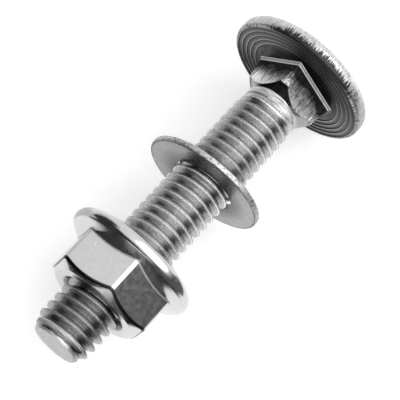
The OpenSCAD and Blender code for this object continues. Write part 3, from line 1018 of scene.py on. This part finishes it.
def in_sight(tree):
    """1 for what the camera, a mirroring surface or a clear one sees, and 0 for the light on the rest."""
    rays = add_node(tree, "ShaderNodeLightPath")
    seen = rays.outputs["Is Camera Ray"]
    for kind in ("Is Glossy Ray", "Is Transmission Ray"):
        either = add_node(tree, "ShaderNodeMath", operation="ADD", use_clamp=True)
        tree.links.new(seen, either.inputs[0])
        tree.links.new(rays.outputs[kind], either.inputs[1])
        seen = either.outputs[0]
    return seen


def pale_floor():
    """White paper that keeps a shadow, with some light of its own to the camera and the steel."""
    material = bpy.data.materials.new("pale_floor")
    material.use_nodes = True
    tree = material.node_tree
    tree.nodes.clear()
    paper = add_node(tree, "ShaderNodeBsdfDiffuse")
    paper.inputs["Color"].default_value = grey(PAPER_GREY)
    glow = add_node(tree, "ShaderNodeEmission")
    tree.links.new(measure(tree, "MULTIPLY", in_sight(tree), FLOOR_GLOW), glow.inputs["Strength"])
    both = add_node(tree, "ShaderNodeAddShader")
    output = add_node(tree, "ShaderNodeOutputMaterial")
    tree.links.new(paper.outputs[0], both.inputs[0])
    tree.links.new(glow.outputs[0], both.inputs[1])
    tree.links.new(both.outputs[0], output.inputs["Surface"])
    return material


floor_x = np.array([-1, 1, 1, -1]) * FLOOR_REACH
floor_y = np.array([-1, -1, 1, 1]) * FLOOR_REACH
floor_corners = np.stack([floor_x, floor_y, floor_height(floor_x) - FLOOR_GAP], -1)
floor_piece = add_piece("floor", floor_corners, [np.array([[0, 1, 2, 3]])], [pale_floor()])

# %% [markdown]
# ## The room
#
# The world is the pale room round the bolt. It shows white to the camera and in the steel's mirror,
# and lights matt things at half that strength, so that the floor's shadow stays visible.

# %% World
ROOM_LIGHT = 0.5
world = bpy.data.worlds.new("studio")
bpy.context.scene.world = world
world.use_nodes = True
sky = world.node_tree
background = sky.nodes["Background"]
background.inputs["Color"].default_value = grey(1.0)
sky.links.new(spread(sky, in_sight(sky), 0, 1, ROOM_LIGHT, 1.0), background.inputs["Strength"])
print("room light", ROOM_LIGHT, "on matt surfaces, 1 to the camera and in the steel")

# %% [markdown]
# ## Panels and dark cards
#
# Bare steel in an all-white room looks like white plastic. A photographer gives it shape with large
# bright panels and with dark cards just outside the picture, which show only as mirror images in the
# metal. The places below are polar: an azimuth that starts at the picture's right and turns away from
# the camera, an elevation over the floor, and a distance from the middle of the bolt. The cards are seen
# by the steel alone, so they take no light from the floor.

# %% Polar places
MIDDLE = np.array([20.0, 0.0, -9.0])
UP = np.array([0.0, 0.0, 1.0])
RIGHT = np.array(PICTURE_RIGHT)
AWAY = np.cross(UP, RIGHT)


def polar_place(azimuth, elevation, distance):
    """A point in millimetres from the polar place round the middle of the bolt, angles in degrees."""
    azimuth, elevation = np.radians(azimuth), np.radians(elevation)
    level = np.cos(azimuth)[..., None] * RIGHT + np.sin(azimuth)[..., None] * AWAY
    distance = np.asarray(distance, float)[..., None]
    return MIDDLE + distance * (np.cos(elevation)[..., None] * level + np.sin(elevation)[..., None] * UP)


def glow_only(name, strength):
    """A material that gives off an even light and reflects none; a low strength makes a dark card."""
    material = bpy.data.materials.new(name)
    material.use_nodes = True
    tree = material.node_tree
    tree.nodes.clear()
    glow = add_node(tree, "ShaderNodeEmission")
    glow.inputs["Strength"].default_value = strength
    output = add_node(tree, "ShaderNodeOutputMaterial")
    tree.links.new(glow.outputs[0], output.inputs["Surface"])
    return material


def card(name, low, high, strength):
    """A card between two curves of points, seen by the steel alone."""
    points = np.concatenate([low, high])
    count = len(low)
    near = np.arange(count - 1)
    faces = np.stack([near, near + 1, near + 1 + count, near + count], axis=1)
    piece = add_piece(name, points, [faces], [glow_only(name, strength)])
    for ray in ("camera", "diffuse", "shadow", "transmission", "volume_scatter"):
        setattr(piece, "visible_" + ray, False)


print("100 mm to the right of the bolt's middle is", np.round(polar_place(0, 0, 100), 1))

# %% Cards
STAND, CARD_LIFT = 350.0, 0.05
WALL_STEPS, FLOOR_STEPS = 16, 24


def wall_card(name, azimuths, lows, highs, strength):
    """A card that stands round the bolt: lows and highs are its edges' elevations at the azimuths."""
    azimuth = np.linspace(azimuths[0], azimuths[-1], WALL_STEPS)
    low, high = np.interp(azimuth, azimuths, lows), np.interp(azimuth, azimuths, highs)
    card(name, polar_place(azimuth, low, STAND), polar_place(azimuth, high, STAND), strength)


def floor_card(name, azimuths, nears, fars, strength):
    """A card that lies just over the floor, between two distances at each azimuth."""
    azimuth = np.linspace(azimuths[0], azimuths[-1], FLOOR_STEPS)
    level = np.zeros(len(azimuth))
    edges = [polar_place(azimuth, level, np.interp(azimuth, azimuths, reach)) for reach in (nears, fars)]
    for edge in edges:
        edge[:, 2] = floor_height(edge[:, 0]) + CARD_LIFT
    card(name, *edges, strength)


wall_card("dark_left", [127, 140, 160, 200, 228, 244, 256], [27, 8, 2, 0, 0, 0, 0],
          [32, 62, 54, 43, 33, 14, 8], 0.035)
wall_card("dark_right", [256, 290, 320, 340, 356], [0] * 5, [8, 11, 14, 10, 5], 0.1)
wall_card("grey_right", [250, 262, 300, 330, 350], [8, 8, 11, 12, 7], [14, 18, 20, 22, 18], 0.42)
wall_card("grey_left", [116, 130], [12, 10], [42, 50], 0.5)
floor_card("dark_floor_left", [180, 200, 218], [45, 46, 50], [STAND] * 3, 0.03)
floor_card("dark_floor_front", [218, 242], [48, 46], [95, 95], 0.05)
floor_card("dark_floor_right", [242, 270, 300, 330, 360], [44, 34, 26, 24, 30], [STAND] * 5, 0.12)
floor_card("dark_floor_near", [236, 250, 275], [30, 29, 26], [48, 44, 34], 0.015)
floor_card("grey_floor", [128, 150, 180], [20, 17, 18], [STAND] * 3, 0.72)
# painted shade: a dark card under the head, seen only in the steel, stands in for the floor's shade there
shade_card_corners = np.array([[0.3, 1.5, -9.5], [0.3, -14.0, -9.5], [14.0, 1.5, -9.5], [14.0, -14.0, -9.5]])
card("shade_under_head", shade_card_corners[:2], shade_card_corners[2:], 0.12)

# %% [markdown]
# ## The soft panel
#
# One large lamp hangs high behind the camera's right shoulder. The steel mirrors it as the bright
# streak along the thread, the white strip on the nut's corner and the light on the rim, and the floor
# gets a soft shadow from it.

# %% Soft panel
def soft_panel(name, azimuth, elevation, distance, wide, tall, light):
    """A rectangular lamp that faces the bolt; light is its brightness, where 1 is white."""
    place = polar_place(azimuth, elevation, distance) * MM
    back = place - MIDDLE * MM
    back /= np.linalg.norm(back)
    level = np.cross(UP, back)
    level /= np.linalg.norm(level)
    lamp = bpy.data.lights.new(name, "AREA")
    lamp.shape, lamp.size, lamp.size_y = "RECTANGLE", wide * MM, tall * MM
    lamp.energy = light * math.pi * lamp.size * lamp.size_y
    panel = bpy.data.objects.new(name, lamp)
    panel.matrix_world = turned_to(level, np.cross(back, level), back, place)
    panel.visible_camera = False
    bpy.context.scene.collection.objects.link(panel)
    print(name, "of", round(lamp.energy, 2), "W at", np.round(place, 3))


soft_panel("soft_panel", azimuth=312, elevation=53, distance=600, wide=1000, tall=720, light=1.5)

bpy.context.scene.view_settings.view_transform = "Standard"
